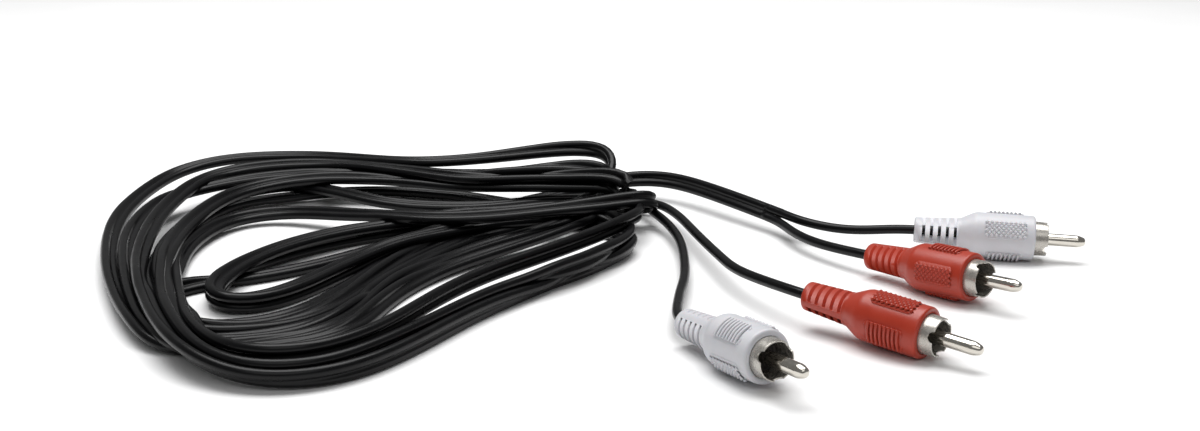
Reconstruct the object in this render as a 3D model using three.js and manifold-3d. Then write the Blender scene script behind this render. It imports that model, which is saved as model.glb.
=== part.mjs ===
// A stereo audio cable: black twin cord lying in a loose hank, split at both ends into two leads,
// each ending in a moulded phono plug, white for one channel and red for the other.
// Millimetres, +Z up, the plugs and the hank lying on z = 0. The origin is the middle of the
// four plugs on that surface, and the hank lies on the -X side of them.
import * as THREE from "three";
import { mergeVertices } from "three/addons/utils/BufferGeometryUtils.js";
import Module from "manifold-3d";

// General
const SEAT_GAP = 0.3; // between two pieces that touch
const ROUND_SIDES = 24; // facets round a plug's turned forms
const ARC_STEPS = 3; // points along a rounded edge

// Moulding of a plug, measured along its axis from the end that the lead enters
const RELIEF_LENGTH = 11.8;
const RELIEF_REAR_R = 3.35;
const RELIEF_FRONT_R = 3.95;
const RELIEF_EDGE = 0.5;
const CONE_LENGTH = 3.9;
const BODY_LENGTH = 15.2;
const BODY_R = 5.9;
const BODY_EDGE = 0.6;

// Windows through the strain relief: two rows, with a bar left between the rows on each side
const WINDOW_COUNT = 5;
const WINDOW_WIDTH = 0.85;
const WINDOW_PITCH = 2.05;
const WINDOW_FIRST = 2.4; // middle of the first window
const WINDOW_SPAN = THREE.MathUtils.degToRad(126);

// Finger grips: a pad of cross ribs on two opposite sides of the body
const RIB_COUNT = 8;
const RIB_WIDTH = 0.55;
const RIB_PITCH = 1.05;
const RIB_RISE = 0.35;
const RIB_ROOT = 0.6; // how far a rib is rooted in the body
const RIB_SPAN = THREE.MathUtils.degToRad(56);

// Ground shell: a thin drawn cup with three round notches in its rim
const SHELL_BASE_R = 4.5;
const SHELL_RIM_R = 4.35;
const SHELL_WALL = 0.35;
const SHELL_FLOOR = 0.5;
const SHELL_SEATED = 4.2; // length inside the moulding
const SHELL_SHOWN = 3.3; // length outside the moulding
const SHELL_HOLE_R = 2.4; // in the cup's floor, for the pin's tail
const NOTCH_COUNT = 3;
const NOTCH_R = 1.5;

// Insulator between shell and pin
const INSULATOR_LENGTH = 1.8;

// Centre pin
const PIN_R = 1.6;
const PIN_SHOWN = 9.8; // beyond the shell's rim
const PIN_TAIL_R = 1.3;
const PIN_TAIL_LENGTH = 4.5; // behind the shell's floor
const PIN_SHOULDER_R = 2.6;
const PIN_SHOULDER = 0.8; // thickness of the collar that bears on the insulator

// Cord
const LEAD_R = 1.25;
const LEAD_DEPTH = 13; // how far a lead runs into its moulding
const LEAD_SIDES = 8;
const LEAD_STEP = 6; // length of one facet along a lead
const TWIN_SIDES = 12;

// Hank: the outer shape of all the turns together
const HANK_HEIGHT = 14;
const HANK_EDGE = 4;
const HANK_POINTS = 56;

// Plugs: middle of the body in plan, heading, nose lift and turn about the own axis, in degrees,
// and how the rim notches are turned against the moulding
const PLUGS = [
  { name: "near_white", colour: "white", x: -41.2, y: -37.3, heading: -60.7, lift: 3.8, roll: 37, notch: 0 },
  { name: "near_red", colour: "red", x: -6.7, y: -21.6, heading: -41.5, lift: -3.5, roll: -76, notch: 50 },
  { name: "far_red", colour: "red", x: 12.8, y: 16.1, heading: -48.6, lift: 3, roll: -5, notch: 30 },
  { name: "far_white", colour: "white", x: 34.9, y: 48, heading: -10.6, lift: -1.5, roll: -33, notch: 0 },
];

// Routes of the free cord towards the plugs, as hand-placed points. The tail and the near leads
// start against the hank's side nearest to their first point, the far leads at the tail's end.
const TAIL_ROUTE = [
  [-67.9, 119.4, 5.4], [-57.9, 114.9, 6], [-50.4, 110.6, 6.5], [-43.2, 103.5, 7],
  [-34.4, 90.4, 6.5], [-27.2, 77.8, 5.6], [-21.7, 69.2, 5.2],
];
const LEAD_ROUTES = {
  near_white: [
    [-57.4, 84.6, 4], [-53.1, 70.6, 3.8], [-50.3, 54.2, 3.5], [-50, 35.6, 3.2],
    [-50.9, 20.6, 3.2], [-52.7, 7.6, 3.6],
  ],
  near_red: [
    [-57.2, 104.1, 4], [-52.4, 87.9, 4], [-49.4, 74.5, 4.5], [-45.3, 52.6, 5],
    [-41.5, 33.6, 5.5], [-38.1, 19.3, 6],
  ],
  far_red: [[-19.6, 61.6, 4], [-17.4, 54.6, 4.2], [-13.6, 47.5, 4.3]],
  far_white: [[-17, 64.9, 6], [-11.7, 61.2, 5.5], [-4.2, 56.8, 5.5]],
};

// Outline of the hank and of the opening in its middle, in plan, as the turns leave them
const HANK_OUTLINE = [
  [-59.7, 86.6], [-60.7, 62.6], [-70.7, 34.6], [-93.7, -1.4], [-111.7, -31.4], [-135.7, -47.4],
  [-159.7, -37.4], [-181.7, -5.4], [-197.2, 32.6], [-204.2, 72.6], [-199.7, 111.6], [-181.7, 130.6],
  [-149.7, 131.6], [-109.7, 124.6], [-79.7, 119.6], [-61.7, 106.6],
];
const HANK_OPENING = [
  [-117.7, 30.6], [-137.7, 2.6], [-157.7, -4.4], [-170.7, 16.6], [-176.7, 45.6], [-165.7, 69.6],
  [-137.7, 70.6], [-117.7, 54.6],
];

// Places along a plug's axis, worked out from the lengths above
const BODY_START = RELIEF_LENGTH + CONE_LENGTH;
const BODY_FRONT = BODY_START + BODY_LENGTH;
const BODY_MIDDLE = BODY_START + BODY_LENGTH / 2;
const SHELL_REAR = BODY_FRONT - SHELL_SEATED;
const SHELL_RIM = BODY_FRONT + SHELL_SHOWN;
const SHOULDER_REAR = SHELL_REAR + SHELL_FLOOR + SEAT_GAP;
const INSULATOR_REAR = SHOULDER_REAR + PIN_SHOULDER + SEAT_GAP;
const PIN_REAR = SHELL_REAR - PIN_TAIL_LENGTH;
const PIN_TIP = SHELL_RIM + PIN_SHOWN;

const BLACK_PVC = new THREE.MeshStandardMaterial({ color: 0x17181a, roughness: 0.4 });
const WHITE_PVC = new THREE.MeshStandardMaterial({ color: 0xc9c8cb, roughness: 0.45 });
const RED_PVC = new THREE.MeshStandardMaterial({ color: 0xa8301f, roughness: 0.45 });
const NICKEL = new THREE.MeshStandardMaterial({ color: 0xc4bfb8, roughness: 0.15, metalness: 1 });
const INSULATION = new THREE.MeshStandardMaterial({ color: 0x1b1a1a, roughness: 0.6 });
const MOULDING_MATERIAL = { white: WHITE_PVC, red: RED_PVC };

const wasm = await Module();
wasm.setup();

// A closed three.js geometry as a solid that can be joined and cut
function toSolid(geometry) {
  const bare = geometry.clone();
  bare.deleteAttribute("normal");
  bare.deleteAttribute("uv");
  const merged = mergeVertices(bare, 1e-4);
  return new wasm.Manifold(
    new wasm.Mesh({
      numProp: 3,
      vertProperties: merged.attributes.position.array,
      triVerts: new Uint32Array(merged.index.array),
    }),
  );
}

// The solid's surface as a three.js geometry
function toGeometry(solid) {
  const mesh = solid.getMesh();
  const geometry = new THREE.BufferGeometry();
  geometry.setAttribute("position", new THREE.BufferAttribute(mesh.vertProperties, 3));
  geometry.setIndex(new THREE.BufferAttribute(mesh.triVerts, 1));
  geometry.computeVertexNormals();
  return geometry;
}

// A profile of [along the axis, radius] turned about the X axis
function turned(profile) {
  const points = profile.map(([along, radius]) => new THREE.Vector2(radius, along));
  return new THREE.LatheGeometry(points, ROUND_SIDES).rotateZ(-Math.PI / 2);
}

// A plain round bar or bore from one place on the axis to another
function bar(from, to, radius) {
  return toSolid(turned([[from, 0], [from, radius], [to, radius], [to, 0]]));
}

// Points of a rounded edge, a quarter circle about a centre on the profile
function roundedEdge(along, radius, edge, startAngle) {
  const points = [];
  for (let i = 0; i <= ARC_STEPS; i++) {
    const angle = startAngle - (i / ARC_STEPS) * (Math.PI / 2);
    points.push([along + edge * Math.cos(angle), radius + edge * Math.sin(angle)]);
  }
  return points;
}

// A curved block about the X axis: part of a ring, centred on the side at the given angle from +Y
function ringBlock(middle, width, innerR, outerR, span, side) {
  const shape = new THREE.Shape();
  shape.absarc(0, 0, outerR, side - span / 2, side + span / 2, false);
  shape.absarc(0, 0, innerR, side + span / 2, side - span / 2, true);
  const geometry = new THREE.ExtrudeGeometry(shape, {
    depth: width,
    bevelEnabled: false,
    curveSegments: 4,
  });
  geometry.translate(0, 0, -width / 2).rotateX(Math.PI / 2).rotateZ(Math.PI / 2);
  return toSolid(geometry.translate(middle, 0, 0));
}

// Moulded body and slotted strain relief, one piece of soft plastic
function mouldingSolid() {
  let body = toSolid(
    turned([
      [0, 0],
      ...roundedEdge(RELIEF_EDGE, RELIEF_REAR_R - RELIEF_EDGE, RELIEF_EDGE, Math.PI),
      [RELIEF_LENGTH, RELIEF_FRONT_R],
      [BODY_START, BODY_R],
      ...roundedEdge(BODY_FRONT - BODY_EDGE, BODY_R - BODY_EDGE, BODY_EDGE, Math.PI / 2),
      [BODY_FRONT, 0],
    ]),
  );
  const firstRib = BODY_MIDDLE - ((RIB_COUNT - 1) * RIB_PITCH) / 2;
  for (const side of [Math.PI / 2, -Math.PI / 2]) {
    for (let i = 0; i < RIB_COUNT; i++) {
      const place = firstRib + i * RIB_PITCH;
      body = body.add(
        ringBlock(place, RIB_WIDTH, BODY_R - RIB_ROOT, BODY_R + RIB_RISE, RIB_SPAN, side),
      );
    }
  }
  for (const side of [0, Math.PI]) {
    for (let i = 0; i < WINDOW_COUNT; i++) {
      const place = WINDOW_FIRST + i * WINDOW_PITCH;
      body = body.subtract(
        ringBlock(place, WINDOW_WIDTH, LEAD_R / 2, 2 * RELIEF_FRONT_R, WINDOW_SPAN, side),
      );
    }
  }
  const leadBore = bar(-1, LEAD_DEPTH + SEAT_GAP, LEAD_R + SEAT_GAP);
  const shellSocket = bar(SHELL_REAR - SEAT_GAP, BODY_FRONT + 1, SHELL_BASE_R + SEAT_GAP);
  const pinPocket = bar(PIN_REAR - SEAT_GAP, BODY_FRONT, PIN_TAIL_R + SEAT_GAP);
  return body.subtract(leadBore).subtract(shellSocket).subtract(pinPocket);
}

// Thin cup: its wall narrows towards the notched rim, and its floor holds the insulator and pin
function shellSolid() {
  let shell = toSolid(
    turned([
      [SHELL_REAR, SHELL_HOLE_R],
      [SHELL_REAR, SHELL_BASE_R],
      [BODY_FRONT, SHELL_BASE_R],
      [SHELL_RIM - SHELL_WALL / 2, SHELL_RIM_R],
      [SHELL_RIM, SHELL_RIM_R - SHELL_WALL / 2],
      [SHELL_RIM, SHELL_RIM_R - SHELL_WALL],
      [BODY_FRONT, SHELL_BASE_R - SHELL_WALL],
      [SHELL_REAR + SHELL_FLOOR, SHELL_BASE_R - SHELL_WALL],
      [SHELL_REAR + SHELL_FLOOR, SHELL_HOLE_R],
      [SHELL_REAR, SHELL_HOLE_R],
    ]),
  );
  for (let i = 0; i < NOTCH_COUNT; i++) {
    const cutter = new THREE.CylinderGeometry(NOTCH_R, NOTCH_R, 2 * SHELL_BASE_R, 16);
    cutter.translate(SHELL_RIM, SHELL_BASE_R, 0).rotateX((i * 2 * Math.PI) / NOTCH_COUNT);
    shell = shell.subtract(toSolid(cutter));
  }
  return shell;
}

// Ring of stiff plastic that holds the pin in the middle of the shell
function insulatorSolid() {
  const rim = SHELL_BASE_R - SHELL_WALL - SEAT_GAP;
  const hole = PIN_R + SEAT_GAP;
  const front = INSULATOR_REAR + INSULATOR_LENGTH;
  return toSolid(
    turned([
      [INSULATOR_REAR, hole],
      [INSULATOR_REAR, rim],
      [front, rim],
      [front, hole],
      [INSULATOR_REAR, hole],
    ]),
  );
}

// Pin with a round nose, a collar behind the insulator and a thinner tail for the conductor
function pinSolid() {
  return toSolid(
    turned([
      [PIN_REAR, 0],
      [PIN_REAR, PIN_TAIL_R],
      [SHOULDER_REAR, PIN_TAIL_R],
      [SHOULDER_REAR, PIN_SHOULDER_R],
      [SHOULDER_REAR + PIN_SHOULDER, PIN_SHOULDER_R],
      [SHOULDER_REAR + PIN_SHOULDER, PIN_R],
      ...roundedEdge(PIN_TIP - PIN_R, 0, PIN_R, Math.PI / 2).slice(0, ARC_STEPS),
      [PIN_TIP, 0],
    ]),
  );
}

// Regular polygon with as many sides as asked, stretched along its first axis
function polygon(sides, radiusX, radiusY) {
  const shape = new THREE.Shape();
  for (let i = 0; i < sides; i++) {
    const angle = ((i + 0.5) * 2 * Math.PI) / sides;
    const point = [radiusX * Math.cos(angle), radiusY * Math.sin(angle)];
    if (i === 0) shape.moveTo(...point);
    else shape.lineTo(...point);
  }
  return shape;
}

// A section carried along a route
function cordGeometry(section, points) {
  const path = new THREE.CatmullRomCurve3(points, false, "centripetal");
  const steps = Math.ceil(path.getLength() / LEAD_STEP);
  return new THREE.ExtrudeGeometry(section, { steps, extrudePath: path, bevelEnabled: false });
}

// The mesh's name is the piece's name
function named(name, geometry, material) {
  const mesh = new THREE.Mesh(geometry, material);
  mesh.name = name;
  return mesh;
}

// One plug with its four pieces, turned and lowered until it rests on the surface
function plug(place, shapes) {
  const group = new THREE.Group();
  group.add(named(`${place.name}_moulding`, shapes.moulding, MOULDING_MATERIAL[place.colour]));
  const shell = named(`${place.name}_shell`, shapes.shell, NICKEL);
  shell.rotation.x = THREE.MathUtils.degToRad(place.notch);
  group.add(shell);
  group.add(named(`${place.name}_insulator`, shapes.insulator, INSULATION));
  group.add(named(`${place.name}_pin`, shapes.pin, NICKEL));
  group.rotation.set(
    THREE.MathUtils.degToRad(place.roll),
    THREE.MathUtils.degToRad(-place.lift),
    THREE.MathUtils.degToRad(place.heading),
    "ZYX",
  );
  const reach = new THREE.Vector3(BODY_MIDDLE, 0, 0).applyEuler(group.rotation);
  group.position.set(place.x - reach.x, place.y - reach.y, 0);
  const box = new THREE.Box3().setFromObject(group, true);
  group.position.z = -box.min.z;
  group.updateMatrixWorld(true);
  return group;
}

// A cord's start seated against the hank's side, at the side's nearest place to the point given
function seatedAtHank([x, y, z], halfWidth) {
  const from = new THREE.Vector3(x, y, 0);
  const nearest = hankSide
    .map((corner, i) => new THREE.Line3(corner, hankSide[(i + 1) % hankSide.length]))
    .map((wall) => wall.closestPointToPoint(from, true, new THREE.Vector3()))
    .reduce((a, b) => (a.distanceTo(from) < b.distanceTo(from) ? a : b));
  const away = from.clone().sub(nearest).setLength(SEAT_GAP + halfWidth);
  return nearest.clone().add(away).setZ(z);
}

// Start of a far lead: the upper or lower core of the twin, just beyond the tail's end
function splitStart(side) {
  const end = tail.at(-1);
  const along = end.clone().sub(tail.at(-2)).setLength(SEAT_GAP);
  return end.clone().add(along).setZ(end.z + side * (LEAD_R + SEAT_GAP / 2));
}

// A lead's route ends straight on its plug's axis, inside the strain relief
function leadPoints(name, group) {
  const route = LEAD_ROUTES[name];
  const points = route.map((point) => new THREE.Vector3(...point));
  if (name.startsWith("near")) points[0] = seatedAtHank(route[0], LEAD_R);
  else points.unshift(splitStart(name === "far_white" ? 1 : -1));
  for (const along of [-8, -4, 0, LEAD_DEPTH / 2, LEAD_DEPTH]) {
    points.push(group.localToWorld(new THREE.Vector3(along, 0, 0)));
  }
  return points;
}

// Corners of a smooth closed outline through points in plan
function outline(points) {
  const ring = points.map(([x, y]) => new THREE.Vector3(x, y, 0));
  const curve = new THREE.CatmullRomCurve3(ring, true, "centripetal");
  return curve.getSpacedPoints(HANK_POINTS).slice(0, HANK_POINTS);
}

// All the turns of the hank as one soft body with rounded edges, open in the middle
function hankGeometry() {
  const flat = (corners) => new THREE.Shape(corners.map(({ x, y }) => new THREE.Vector2(x, y)));
  const body = new THREE.ExtrudeGeometry(flat(hankSide), {
    depth: HANK_HEIGHT - 2 * HANK_EDGE,
    bevelThickness: HANK_EDGE,
    bevelSize: HANK_EDGE,
    bevelOffset: -HANK_EDGE,
    bevelSegments: 3,
  });
  const opening = new THREE.ExtrudeGeometry(flat(outline(HANK_OPENING)), {
    depth: 2 * HANK_HEIGHT,
    bevelEnabled: false,
  });
  body.translate(0, 0, HANK_EDGE);
  opening.translate(0, 0, -HANK_HEIGHT / 2);
  return toGeometry(toSolid(body).subtract(toSolid(opening)));
}

const cable = new THREE.Group();
const laid = new THREE.Group();
const plugs = new THREE.Group();
cable.add(laid);
laid.add(plugs);

const shapes = {
  moulding: toGeometry(mouldingSolid()),
  shell: toGeometry(shellSolid()),
  insulator: toGeometry(insulatorSolid()),
  pin: toGeometry(pinSolid()),
};
const hankSide = outline(HANK_OUTLINE);
const tail = TAIL_ROUTE.map((point) => new THREE.Vector3(...point));
tail[0] = seatedAtHank(TAIL_ROUTE[0], LEAD_R); // the twin stands on edge here
laid.add(named("cable_hank", hankGeometry(), BLACK_PVC));
const twinSection = polygon(TWIN_SIDES, 2 * LEAD_R, LEAD_R);
laid.add(named("far_twin_tail", cordGeometry(twinSection, tail), BLACK_PVC));

const leadSection = polygon(LEAD_SIDES, LEAD_R, LEAD_R);
for (const place of PLUGS) {
  const group = plug(place, shapes);
  plugs.add(group);
  const route = leadPoints(place.name, group);
  laid.add(named(`${place.name}_lead`, cordGeometry(leadSection, route), BLACK_PVC));
}

// The origin is the middle of the plugs, whatever their sizes
const middle = new THREE.Box3().setFromObject(plugs, true).getCenter(new THREE.Vector3());
laid.position.set(-middle.x, -middle.y, 0);

export default cable;
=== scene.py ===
import math

import bmesh
import bpy
import numpy as np
from mathutils import Matrix, Vector


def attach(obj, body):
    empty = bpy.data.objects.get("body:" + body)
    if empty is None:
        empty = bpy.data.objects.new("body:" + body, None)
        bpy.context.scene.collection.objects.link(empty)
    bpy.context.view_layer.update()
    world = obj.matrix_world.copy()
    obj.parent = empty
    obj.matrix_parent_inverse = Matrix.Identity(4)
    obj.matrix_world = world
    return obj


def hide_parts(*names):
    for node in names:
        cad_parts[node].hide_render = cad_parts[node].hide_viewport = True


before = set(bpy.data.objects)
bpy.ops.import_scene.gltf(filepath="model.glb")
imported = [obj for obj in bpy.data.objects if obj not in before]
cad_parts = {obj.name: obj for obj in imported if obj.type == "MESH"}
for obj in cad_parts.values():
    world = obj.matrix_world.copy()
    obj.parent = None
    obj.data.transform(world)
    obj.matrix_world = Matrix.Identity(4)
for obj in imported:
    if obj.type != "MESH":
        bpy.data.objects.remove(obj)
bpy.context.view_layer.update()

PHOTO_WIDTH = 1200  # the picture is 1200 x 431
FOCAL_PIXELS = 1487  # the view's focal length in the picture's pixels, solved from the four plugs
LOOKS_DOWN = 15.21  # degrees
MM = 0.001


def placed(name, data):
    """A new object in the scene."""
    made = bpy.data.objects.new(name, data)
    bpy.context.scene.collection.objects.link(made)
    return made


# Camera: low over the table, in front of the plugs
camera_data = bpy.data.cameras.new("photo_view")
camera_data.sensor_fit = "HORIZONTAL"
camera_data.sensor_width = 36
camera_data.lens = camera_data.sensor_width * FOCAL_PIXELS / PHOTO_WIDTH
camera_data.clip_start = 0.01
camera_data.clip_end = 20
camera = placed("photo_view", camera_data)
camera.location = (-0.0717, -0.3294, 0.1146)
camera.rotation_euler = (math.radians(90 - LOOKS_DOWN), 0, 0)
bpy.context.scene.camera = camera


# Materials

def linear(hex_colour):
    """sRGB hex to the linear colour that the shaders take."""
    parts = [int(hex_colour[i:i + 2], 16) / 255 for i in (1, 3, 5)]
    return tuple(c / 12.92 if c <= 0.04045 else ((c + 0.055) / 1.055) ** 2.4 for c in parts) + (1.0,)


def add_node(tree, kind, settings=None, inputs=None):
    """One node with its settings, and its inputs from values or from other nodes' outputs."""
    made = tree.nodes.new(kind)
    for name, value in (settings or {}).items():
        setattr(made, name, value)
    for socket, value in (inputs or {}).items():
        if isinstance(value, bpy.types.NodeSocket):
            tree.links.new(value, made.inputs[socket])
        else:
            made.inputs[socket].default_value = value
    return made


def new_material(name, inputs):
    """A material with one Principled shader, whose plain values are set on its own sockets."""
    material = bpy.data.materials.new(name)
    material.use_nodes = True
    tree = material.node_tree
    tree.nodes.clear()
    shader = add_node(tree, "ShaderNodeBsdfPrincipled", inputs=inputs)
    add_node(tree, "ShaderNodeOutputMaterial", inputs={"Surface": shader.outputs[0]})
    return material, tree, shader


def patterned(name, colours, roughness, patch_mm, grain_mm, grain_depth_mm, **fixed):
    """A material whose colour and roughness drift in soft patches, with a fine grain in relief."""
    inputs = {key.replace("_", " "): value for key, value in fixed.items()}
    material, tree, shader = new_material(name, inputs)
    place = add_node(tree, "ShaderNodeTexCoord")
    patches = add_node(tree, "ShaderNodeTexNoise", inputs={
        "Vector": place.outputs["Object"], "Scale": 1 / (patch_mm * MM), "Detail": 4.0, "Roughness": 0.6})
    blend = add_node(tree, "ShaderNodeMix", {"data_type": "RGBA"}, {0: patches.outputs["Fac"]})
    blend.inputs[6].default_value = linear(colours[0])
    blend.inputs[7].default_value = linear(colours[1])
    gloss = add_node(tree, "ShaderNodeMapRange", inputs={
        "Value": patches.outputs["Fac"], "From Min": 0.3, "From Max": 0.7,
        "To Min": roughness[0], "To Max": roughness[1]})
    grain = add_node(tree, "ShaderNodeTexNoise", inputs={
        "Vector": place.outputs["Object"], "Scale": 1 / (grain_mm * MM), "Detail": 2.0})
    relief = add_node(tree, "ShaderNodeBump", inputs={
        "Height": grain.outputs["Fac"], "Distance": grain_depth_mm * MM, "Strength": 1.0})
    tree.links.new(blend.outputs[2], shader.inputs["Base Color"])
    tree.links.new(gloss.outputs["Result"], shader.inputs["Roughness"])
    tree.links.new(relief.outputs["Normal"], shader.inputs["Normal"])
    return material


# Extruded soft PVC: near black, a satin skin with long soft highlights and faint drawn streaks
cord_pvc = patterned("cord_pvc_black", ("#030304", "#08080a"), (0.26, 0.34), 6, 0.8, 0.008,
                     Specular_IOR_Level=0.22)
# Injection moulded soft PVC: milky, slightly lilac in shade, satin
white_pvc = patterned("plug_pvc_white", ("#c3c3c8", "#d0d0d4"), (0.34, 0.44), 5, 0.35, 0.006,
                      Subsurface_Weight=0.06, Subsurface_Scale=0.001)
# The same in orange-red, which goes paler where the light grazes it
red_pvc = patterned("plug_pvc_red", ("#a02c17", "#ae341b"), (0.32, 0.42), 5, 0.35, 0.006,
                    Sheen_Weight=0.08, Sheen_Roughness=0.4)
# Bright nickel plate on turned brass: mirror-like, with faint wear from the socket
nickel = patterned("nickel_plate", ("#c9c3b8", "#dcd8d0"), (0.08, 0.2), 1.5, 0.25, 0.0015, Metallic=1.0)
# Pressed and plated sheet: the same nickel, duller than on the turned pins. It is drawn less than
# fully metallic, which lightens the inside of the shell a little; it still shows dark
shell_nickel = patterned("nickel_plate_pressed", ("#aaa69f", "#c2beb7"), (0.2, 0.34), 1.5, 0.3, 0.002,
                         Metallic=0.7)
# Dark moulded polyethylene, dull, at the bottom of the shell
insulator_plastic = patterned("insulator_dark", ("#262220", "#3a3430"), (0.45, 0.6), 2, 0.3, 0.006)
# Painted white table: dull, hardly any pattern
white_table = patterned("white_table", ("#f3f3f3", "#f8f8f8"), (0.85, 0.95), 60, 2, 0.01)


# Cord: every size in millimetres, in the same frame as the part's source

LEAD_R = 1.25  # one core in its sheath
CORE_GAP = 2.42  # between the middles of the twin's two cores, so the sheaths merge a little
STEP = 3.5  # between the beads that the twin is laid with
FINE_STEP = 2  # between the rings of its mesh
TIGHTEST_BEND = 2.6  # radius to which its sharpest folds are opened
ROUNDS = 240  # of moving the beads
# Each round moves a bead by these shares of the way back to the route (across the line of sight,
# along it, and in the twin's turn), towards an even bend and out of another bead
HOLD_ACROSS, HOLD_ALONG, HOLD_TURN, STIFFNESS, PUSH = 0.1, 0.02, 0.06, 0.06, 0.25
SINK, LONGEST_PUSH = 0.004, 0.4  # millimetres in each round

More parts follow.
